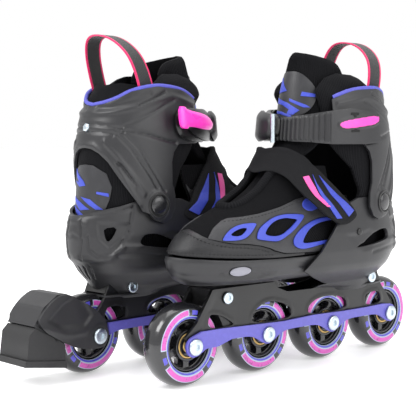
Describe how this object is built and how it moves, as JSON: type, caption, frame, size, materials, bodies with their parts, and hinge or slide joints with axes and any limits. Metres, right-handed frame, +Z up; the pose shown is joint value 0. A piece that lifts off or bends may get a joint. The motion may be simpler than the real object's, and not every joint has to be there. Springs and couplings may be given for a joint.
{
  "type": "inline skates",
  "caption": "Pair of adjustable four-wheel inline skates with hinged cuffs, buckles, foot straps and a heel brake on the right skate.",
  "frame": {"origin": "on the ground under the middle of the pair's bounding box", "axes": "+X along the right skate towards its toe, +Y to the wearer's left of the right skate, +Z up"},
  "size_m": [0.3978, 0.2202, 0.306],
  "materials": {
    "shell_plastic": "satin moulded",
    "frame_plastic": "satin moulded",
    "upper_fabric": "stitched synthetic and mesh",
    "liner_mesh": "padded knit mesh",
    "pull_webbing": "woven webbing with bright edges",
    "rail_purple": "satin painted",
    "lever_pink": "gloss moulded",
    "button_grey": "gloss moulded",
    "tyre_polyurethane": "smooth cast polyurethane with printed rings",
    "hub_plastic": "gloss moulded",
    "zinc_steel": "zinc plated",
    "brake_rubber": "dense rubber"
  },
  "bodies": {
    "right_base": {"right_heel_shell": "shell_plastic", "right_liner_foot": "liner_mesh", "right_tongue_lower": "liner_mesh", "right_frame": "frame_plastic", "right_rail_left": "rail_purple", "right_rail_right": "rail_purple", "right_axle_1": "zinc_steel", "right_axle_2": "zinc_steel", "right_axle_3": "zinc_steel", "right_axle_4": "zinc_steel", "right_brake_housing": "shell_plastic", "right_brake_pad": "brake_rubber"},
    "right_toe": {"right_toe_shell": "shell_plastic", "right_upper": "upper_fabric", "right_foot_strap": "upper_fabric"},
    "right_button": {"right_size_button": "button_grey"},
    "right_ankle": {"right_cuff": "shell_plastic", "right_liner_cuff": "liner_mesh", "right_tongue_top": "liner_mesh", "right_pull_loop": "pull_webbing", "right_ladder_strap": "shell_plastic", "right_buckle_base": "shell_plastic"},
    "right_lever": {"right_buckle_lever": "lever_pink"},
    "right_wheel_1": {"right_tyre_1": "tyre_polyurethane", "right_hub_1": "hub_plastic"},
    "right_wheel_2": {"right_tyre_2": "tyre_polyurethane", "right_hub_2": "hub_plastic"},
    "right_wheel_3": {"right_tyre_3": "tyre_polyurethane", "right_hub_3": "hub_plastic"},
    "right_wheel_4": {"right_tyre_4": "tyre_polyurethane", "right_hub_4": "hub_plastic"},
    "left_base": {"left_heel_shell": "shell_plastic", "left_liner_foot": "liner_mesh", "left_tongue_lower": "liner_mesh", "left_frame": "frame_plastic", "left_rail_left": "rail_purple", "left_rail_right": "rail_purple", "left_axle_1": "zinc_steel", "left_axle_2": "zinc_steel", "left_axle_3": "zinc_steel", "left_axle_4": "zinc_steel"},
    "left_toe": {"left_toe_shell": "shell_plastic", "left_upper": "upper_fabric", "left_foot_strap": "upper_fabric"},
    "left_button": {"left_size_button": "button_grey"},
    "left_ankle": {"left_cuff": "shell_plastic", "left_liner_cuff": "liner_mesh", "left_tongue_top": "liner_mesh", "left_pull_loop": "pull_webbing", "left_ladder_strap": "shell_plastic", "left_buckle_base": "shell_plastic"},
    "left_lever": {"left_buckle_lever": "lever_pink"},
    "left_wheel_1": {"left_tyre_1": "tyre_polyurethane", "left_hub_1": "hub_plastic"},
    "left_wheel_2": {"left_tyre_2": "tyre_polyurethane", "left_hub_2": "hub_plastic"},
    "left_wheel_3": {"left_tyre_3": "tyre_polyurethane", "left_hub_3": "hub_plastic"},
    "left_wheel_4": {"left_tyre_4": "tyre_polyurethane", "left_hub_4": "hub_plastic"}
  },
  "joints": [
    {"name": "right_cuff_flex", "type": "hinge", "parent": "right_base", "child": "right_ankle", "pos_m": [-0.0699, 0.05767, 0.15], "axis": [0, 1, 0], "range_deg": [-5, 5]},
    {"name": "right_buckle_open", "type": "hinge", "parent": "right_ankle", "child": "right_lever", "pos_m": [-0.0023, 0.00607, 0.228], "axis": [0, 0, 1], "range_deg": [0, 75]},
    {"name": "right_size_adjust", "type": "slide", "parent": "right_base", "child": "right_toe", "axis": [1, 0, 0], "range_m": [0, 0.02]},
    {"name": "right_button_press", "type": "slide", "parent": "right_toe", "child": "right_button", "axis": [0, 1, 0], "range_m": [0, 0.003], "stiffness_N_per_m": 300, "springref_m": -0.002},
    {"name": "right_wheel_1_spin", "type": "hinge", "parent": "right_base", "child": "right_wheel_1", "pos_m": [0.1371, 0.05767, 0.036], "axis": [0, 1, 0], "continuous": true},
    {"name": "right_wheel_2_spin", "type": "hinge", "parent": "right_base", "child": "right_wheel_2", "pos_m": [0.0511, 0.05767, 0.036], "axis": [0, 1, 0], "continuous": true},
    {"name": "right_wheel_3_spin", "type": "hinge", "parent": "right_base", "child": "right_wheel_3", "pos_m": [-0.0349, 0.05767, 0.036], "axis": [0, 1, 0], "continuous": true},
    {"name": "right_wheel_4_spin", "type": "hinge", "parent": "right_base", "child": "right_wheel_4", "pos_m": [-0.1209, 0.05767, 0.036], "axis": [0, 1, 0], "continuous": true},
    {"name": "left_lift", "type": "slide", "parent": "right_base", "child": "left_base", "axis": [0, -0.5, 0.866], "range_m": [0, 0.35]},
    {"name": "left_cuff_flex", "type": "hinge", "parent": "left_base", "child": "left_ankle", "pos_m": [0.11186, -0.05745, 0.15], "axis": [-0.0785, -0.9969, 0], "range_deg": [-5, 5]},
    {"name": "left_buckle_open", "type": "hinge", "parent": "left_ankle", "child": "left_lever", "pos_m": [0.04851, -0.00071, 0.228], "axis": [0, 0, 1], "range_deg": [0, 75]},
    {"name": "left_size_adjust", "type": "slide", "parent": "left_base", "child": "left_toe", "axis": [-0.9969, 0.0785, 0], "range_m": [0, 0.02]},
    {"name": "left_button_press", "type": "slide", "parent": "left_toe", "child": "left_button", "axis": [0.0785, 0.9969, 0], "range_m": [0, 0.003], "stiffness_N_per_m": 300, "springref_m": -0.002},
    {"name": "left_wheel_1_spin", "type": "hinge", "parent": "left_base", "child": "left_wheel_1", "pos_m": [-0.09451, -0.04121, 0.036], "axis": [-0.0785, -0.9969, 0], "continuous": true},
    {"name": "left_wheel_2_spin", "type": "hinge", "parent": "left_base", "child": "left_wheel_2", "pos_m": [-0.00877, -0.04796, 0.036], "axis": [-0.0785, -0.9969, 0], "continuous": true},
    {"name": "left_wheel_3_spin", "type": "hinge", "parent": "left_base", "child": "left_wheel_3", "pos_m": [0.07697, -0.05471, 0.036], "axis": [-0.0785, -0.9969, 0], "continuous": true},
    {"name": "left_wheel_4_spin", "type": "hinge", "parent": "left_base", "child": "left_wheel_4", "pos_m": [0.1627, -0.06146, 0.036], "axis": [-0.0785, -0.9969, 0], "continuous": true}
  ]
}
